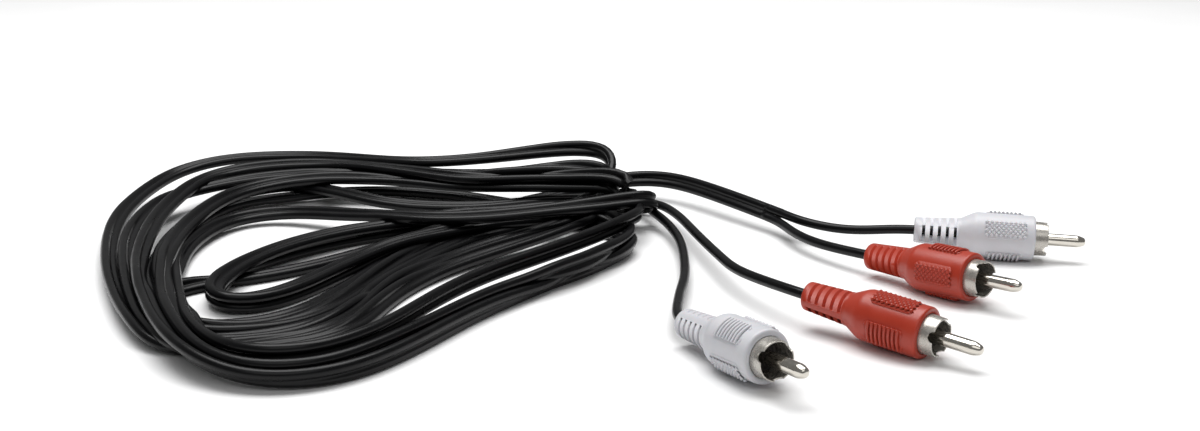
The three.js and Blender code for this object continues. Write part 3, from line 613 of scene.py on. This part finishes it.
def on_both_sides(tree, given, shape, first_turn):
    """Copies the pad to the other side of the plug, and gives it its material."""
    one = add_node(tree, "GeometryNodeTransform", inputs={"Geometry": shape, "Rotation": (first_turn, 0, 0)})
    other = add_node(tree, "GeometryNodeTransform", inputs={
        "Geometry": shape, "Rotation": (first_turn + math.pi, 0, 0)})
    both = add_node(tree, "GeometryNodeJoinGeometry", inputs={"Geometry": one.outputs[0]})
    tree.links.new(other.outputs[0], both.inputs[0])
    real = add_node(tree, "GeometryNodeRealizeInstances", inputs={"Geometry": both.outputs[0]})
    dressed = add_node(tree, "GeometryNodeSetMaterial", inputs={
        "Geometry": real.outputs[0], "Material": given.outputs["Material"]})
    add_node(tree, "NodeGroupOutput", inputs={"Geometry": dressed.outputs[0]})


def rib_tree():
    """Round ribs bent across the plug, repeated along it."""
    tree, given = new_tree("rib_pads", ("First", "Pitch", "Radius", "Half thickness", "Span"))
    half = add_node(tree, "ShaderNodeMath", {"operation": "MULTIPLY"}, {0: given.outputs["Span"], 1: -0.5})
    arc = add_node(tree, "GeometryNodeCurveArc", {"mode": "RADIUS"}, {
        "Resolution": 17, "Radius": given.outputs["Radius"], "Start Angle": half.outputs[0],
        "Sweep Angle": given.outputs["Span"]})
    upright = add_node(tree, "GeometryNodeTransform", inputs={
        "Geometry": arc.outputs["Curve"], "Rotation": (0, -math.pi / 2, 0)})
    section = add_node(tree, "GeometryNodeCurvePrimitiveCircle", {"mode": "RADIUS"}, {
        "Resolution": 10, "Radius": given.outputs["Half thickness"]})
    rib = add_node(tree, "GeometryNodeCurveToMesh", inputs={
        "Curve": upright.outputs[0], "Profile Curve": section.outputs["Curve"], "Fill Caps": True})
    start = add_node(tree, "ShaderNodeCombineXYZ", inputs={"X": given.outputs["First"]})
    offset = add_node(tree, "ShaderNodeCombineXYZ", inputs={"X": given.outputs["Pitch"]})
    row = add_node(tree, "GeometryNodeMeshLine", {"mode": "OFFSET"}, {
        "Count": RIB_COUNT, "Start Location": start.outputs[0], "Offset": offset.outputs[0]})
    ribs = add_node(tree, "GeometryNodeInstanceOnPoints", inputs={
        "Points": row.outputs[0], "Instance": rib.outputs[0]})
    on_both_sides(tree, given, ribs.outputs[0], 0.0)
    return tree


def diamond_tree():
    """Low four-sided studs set point to point, wrapped round the plug as a grip."""
    tree, given = new_tree("diamond_pads", ("Middle", "Radius", "Half diamond", "Height"))
    columns = 2 * round(PAD_LENGTH / STUD / 2) + 1
    long_side = add_node(tree, "ShaderNodeMath", {"operation": "MULTIPLY"}, {
        0: given.outputs["Half diamond"], 1: float(columns - 1)})
    short_side = add_node(tree, "ShaderNodeMath", {"operation": "MULTIPLY"}, {
        0: given.outputs["Half diamond"], 1: float(PAD_ROWS - 1)})
    grid = add_node(tree, "GeometryNodeMeshGrid", inputs={
        "Size X": long_side.outputs[0], "Size Y": short_side.outputs[0],
        "Vertices X": columns, "Vertices Y": PAD_ROWS})
    place = add_node(tree, "GeometryNodeInputPosition")
    flat = add_node(tree, "ShaderNodeSeparateXYZ", inputs={"Vector": place.outputs[0]})
    angle = add_node(tree, "ShaderNodeMath", {"operation": "DIVIDE"}, {
        0: flat.outputs["Y"], 1: given.outputs["Radius"]})
    sine = add_node(tree, "ShaderNodeMath", {"operation": "SINE"}, {0: angle.outputs[0]})
    cosine = add_node(tree, "ShaderNodeMath", {"operation": "COSINE"}, {0: angle.outputs[0]})
    y = add_node(tree, "ShaderNodeMath", {"operation": "MULTIPLY"}, {
        0: sine.outputs[0], 1: given.outputs["Radius"]})
    z = add_node(tree, "ShaderNodeMath", {"operation": "MULTIPLY"}, {
        0: cosine.outputs[0], 1: given.outputs["Radius"]})
    x = add_node(tree, "ShaderNodeMath", {"operation": "ADD"}, {
        0: flat.outputs["X"], 1: given.outputs["Middle"]})
    wrapped = add_node(tree, "ShaderNodeCombineXYZ", inputs={
        "X": x.outputs[0], "Y": y.outputs[0], "Z": z.outputs[0]})
    bent = add_node(tree, "GeometryNodeSetPosition", inputs={
        "Geometry": grid.outputs["Mesh"], "Position": wrapped.outputs[0]})
    # Every second point of the grid carries a stud, so the studs stand as a chequer
    index = add_node(tree, "GeometryNodeInputIndex")
    odd = add_node(tree, "ShaderNodeMath", {"operation": "MODULO"}, {0: index.outputs[0], 1: 2.0})
    chosen = add_node(tree, "ShaderNodeMath", {"operation": "SUBTRACT"}, {0: 1.0, 1: odd.outputs[0]})
    outward = add_node(tree, "ShaderNodeVectorMath", {"operation": "MULTIPLY"}, {
        0: place.outputs[0], 1: (0, 1, 1)})
    facing = add_node(tree, "FunctionNodeAlignRotationToVector", {"axis": "Z"}, {
        "Vector": outward.outputs[0]})
    stud = add_node(tree, "GeometryNodeMeshCone", {"fill_type": "NGON"}, {
        "Vertices": 4, "Radius Top": 0.2, "Radius Bottom": given.outputs["Half diamond"],
        "Depth": given.outputs["Height"]})
    studs = add_node(tree, "GeometryNodeInstanceOnPoints", inputs={
        "Points": bent.outputs[0], "Selection": chosen.outputs[0], "Instance": stud.outputs["Mesh"],
        "Rotation": facing.outputs[0]})
    on_both_sides(tree, given, studs.outputs[0], math.pi / 2)
    return tree


def grown(name, tree, sizes, material):
    """A piece made by a geometry tree, turned into a plain mesh."""
    piece = new_piece(name, bmesh.new(), material)
    grow = piece.modifiers.new("grow", "NODES")
    grow.node_group = tree
    for item in tree.interface.items_tree:
        if item.in_out == "INPUT" and item.name in sizes:
            grow[item.identifier] = sizes[item.name]
        elif item.in_out == "INPUT" and item.name == "Material":
            grow[item.identifier] = material
    return settle(piece)


def pad_plate(length, span, side):
    """The raised plate under a grip: a piece of the body's skin with rounded corners."""
    solid = bmesh.new()
    half_width = BODY_R * math.radians(span) / 2
    corner = 0.9
    edge = []
    for middle_x, middle_y, start in ((length / 2 - corner, half_width - corner, 0),
                                      (corner - length / 2, half_width - corner, 90),
                                      (corner - length / 2, corner - half_width, 180),
                                      (length / 2 - corner, corner - half_width, 270)):
        for turn in (0, 30, 60, 90):
            a = math.radians(start + turn)
            edge.append((middle_x + corner * math.cos(a), middle_y + corner * math.sin(a)))
    rings = []
    for shrink, radius in ((1.0, BODY_R - 0.5), (1.0, BODY_R + 0.1), (0.96, BODY_R + PAD_RISE)):
        rings.append([solid.verts.new((BODY_MIDDLE + x * shrink,
                                       radius * math.cos(y * shrink / BODY_R + side),
                                       radius * math.sin(y * shrink / BODY_R + side))) for x, y in edge])
    count = len(edge)
    for first, second in zip(rings, rings[1:]):
        for k in range(count):
            solid.faces.new((first[k], first[(k + 1) % count], second[(k + 1) % count], second[k]))
    # The curved top and bottom are filled in strips across, so that they follow the body
    half = count // 2
    for ring in (rings[0], rings[-1]):
        for k in range(half - 1):
            a, b = ring[(half - 1 - k)], ring[(half - 2 - k)]
            c, d = ring[(half + 1 + k) % count], ring[(half + k) % count]
            solid.faces.new((a, b, c, d))
    return new_piece("pad_plate", solid, white_pvc)


moulding = turned("plug_moulding", rounded([
    (0, 0, 0), (0, RELIEF_REAR_R, 0.5), (RELIEF_LENGTH, RELIEF_FRONT_R, 0.5), (BODY_START, BODY_R, 0.9),
    (BODY_FRONT, BODY_R, 0.7), (BODY_FRONT, 0, 0)]), white_pvc)
carve(moulding, window_cutter())
for start, end, radius in BORES:
    profile = [(start, 0), (start, radius), (end, radius), (end, 0)]
    carve(moulding, turned("bore", profile, insulator_plastic, 48))
soften(moulding, 0.18)
plates = [pad_plate(*STUD_PLATE, side) for side in (0, math.pi)] + [
    pad_plate(*RIB_PLATE, side) for side in (math.pi / 2, -math.pi / 2)]
ribs = grown("plug_ribs", rib_tree(), {
    "First": BODY_MIDDLE - (RIB_COUNT - 1) * RIB_PITCH / 2, "Pitch": RIB_PITCH,
    "Radius": BODY_R + PAD_RISE, "Half thickness": RIB_HALF, "Span": math.radians(RIB_SPAN)}, white_pvc)
diamonds = grown("plug_diamonds", diamond_tree(), {
    "Middle": BODY_MIDDLE, "Radius": BODY_R + PAD_RISE + 0.04, "Half diamond": STUD,
    "Height": 0.3}, white_pvc)

shell = turned("plug_shell", rounded([
    (SHELL_REAR, 2.4, 0), (SHELL_REAR, SHELL_BASE_R, 0.2), (BODY_FRONT, SHELL_BASE_R, 0),
    (SHELL_RIM, SHELL_RIM_R, 0.14), (SHELL_RIM, SHELL_RIM_R - SHELL_WALL, 0.14),
    (BODY_FRONT, SHELL_BASE_R - SHELL_WALL, 0), (SHELL_REAR + 0.5, SHELL_BASE_R - SHELL_WALL, 0.2),
    (SHELL_REAR + 0.5, 2.4, 0), (SHELL_REAR, 2.4, 0)]), nickel, 96)
for i in range(NOTCH_COUNT):
    angle = 2 * math.pi * i / NOTCH_COUNT
    cutter = turned("notch", [(0, 0), (0, NOTCH_R), (6, NOTCH_R), (6, 0)], nickel, 40)
    cutter.data.transform(Matrix.Rotation(angle, 4, "X") @ Matrix.Translation((SHELL_RIM, 2, 0))
                          @ Matrix.Rotation(math.pi / 2, 4, "Z"))
    carve(shell, cutter)
shell.data.set_sharp_from_angle(angle=math.radians(35))

# A cup round the pin, deep in the shell
insulator = turned("plug_insulator", rounded([
    (27.3, 0, 0), (27.3, 4.1, 0.1), (28.6, 4.1, 0.3), (28.6, 3.3, 0.2), (28.2, 3.0, 0.2),
    (28.2, 2.3, 0.2), (29.3, 2.1, 0.3), (29.3, 0, 0)]), insulator_plastic)

# Thinner tail, straight pin, rounded nose
pin = turned("plug_pin", rounded([
    (24.5, 0, 0), (24.5, 1.3, 0.2), (29.1, 1.3, 0), (29.1, PIN_R, 0.1), (PIN_TIP - 2.0, PIN_R, 0.5),
    (PIN_TIP, 0.95, 0.75), (PIN_TIP, 0, 0)]), nickel, 64)


def joined(name, sources, material, place):
    """One piece from copies of the given ones, put in its place on the cable."""
    solid = bmesh.new()
    for source in sources:
        solid.from_mesh(source.data)
    mesh = bpy.data.meshes.new(name)
    solid.to_mesh(mesh)
    solid.free()
    mesh.transform(place @ Matrix.Scale(MM, 4))
    mesh.materials.clear()
    mesh.materials.append(material)
    return placed(name, mesh)


def plug_axis(name):
    """The plug's own frame: origin at the strain relief's rear end, X along the pin."""
    _, heading, lift, roll = PLUGS[name]
    turn = (Matrix.Rotation(math.radians(heading), 4, "Z")
            @ Matrix.Rotation(math.radians(-lift), 4, "Y")
            @ Matrix.Rotation(math.radians(roll), 4, "X"))
    forward = turn.to_3x3() @ Vector((1, 0, 0))
    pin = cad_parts[f"{name}_pin"].data
    reach = max(v.co.dot(forward) for v in pin.vertices)
    nose = [v.co for v in pin.vertices if v.co.dot(forward) > reach - 1e-5]
    tip = sum(nose, Vector()) / len(nose)
    return Matrix.Translation(tip - forward * PIN_TIP * MM) @ turn


plug_pieces = {}
for name, (colour, _, _, _) in PLUGS.items():
    own = plug_axis(name)
    colour_slot = "moulding_white" if colour is white_pvc else "moulding_red"
    parts = (("moulding", [moulding], colour, colour_slot),
             ("grips", [ribs, diamonds] + plates, colour, colour_slot),
             ("shell", [shell], shell_nickel, "contact_nickel"),
             ("insulator", [insulator], insulator_plastic, "insulator_dark"),
             ("pin", [pin], nickel, "contact_nickel"))
    plug_pieces[name] = []
    for part, sources, material, slot in parts:
        piece = joined(f"{name}_{part}_shown", sources, material, own)
        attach(piece, "root")
        if part != "grips":
            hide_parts(f"{name}_{part}")
        plug_pieces[name].append(piece)
for source in [moulding, ribs, diamonds, shell, insulator, pin] + plates:
    bpy.data.objects.remove(source)

# Each lead carries on from one core of the twin: the near ones from the left and the right core,
# the far red one from the lower core and the far white one from the upper
for name, route in LEAD_ROUTES.items():
    own = plug_axis(name)
    near = name.startswith("near")
    end = -1 if near else 0
    cores = sorted((core_a, core_b), key=lambda core: core[end][0] if near else core[end][2])
    core = cores[1] if name in ("near_red", "far_white") else cores[0]
    start = [tuple(core[k]) for k in ((-4, -2, -1) if near else (3, 1, 0))]
    axis_points = [tuple(own @ Vector((x * MM, 0, 0)) / MM) for x in (-3, 0, LEAD_DEPTH / 2, LEAD_DEPTH)]
    line = smoothed(smooth_route(start + route + axis_points, 1.5), 3, 3)
    across = np.cross(directions(line), (0, 0, 1))
    lead = swept(f"{name}_cord", line, across, round_outline(), cord_pvc)
    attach(lead, "root")
    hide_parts(f"{name}_lead")


# Floor, world and lamps

floor_mesh = bpy.data.meshes.new("floor")
floor_mesh.from_pydata([(-4, -3, 0), (4, -3, 0), (4, 8, 0), (-4, 8, 0)], [], [(0, 1, 2, 3)])
floor = placed("floor", floor_mesh)
floor_mesh.materials.append(white_table)

world = bpy.data.worlds.new("studio")
bpy.context.scene.world = world
world.use_nodes = True
background = world.node_tree.nodes["Background"]
background.inputs["Color"].default_value = (1, 1, 1, 1)
background.inputs["Strength"].default_value = 0.2

# Name, size, power, place and tilt: a broad softbox over the hank and a weak fill from the front
for name, size, watts, place, tilt in (("softbox", (1.0, 0.7), 12, (-0.1, 0.25, 0.9), 0),
                                       ("fill", (1.0, 0.5), 1.8, (-0.1, -0.7, 0.8), 42)):
    lamp_data = bpy.data.lights.new(name, "AREA")
    lamp_data.shape = "RECTANGLE"
    lamp_data.size, lamp_data.size_y = size
    lamp_data.energy = watts
    lamp = placed(name, lamp_data)
    lamp.location = place
    lamp.rotation_euler = (math.radians(tilt), 0, 0)

bpy.context.scene.view_settings.view_transform = "Standard"
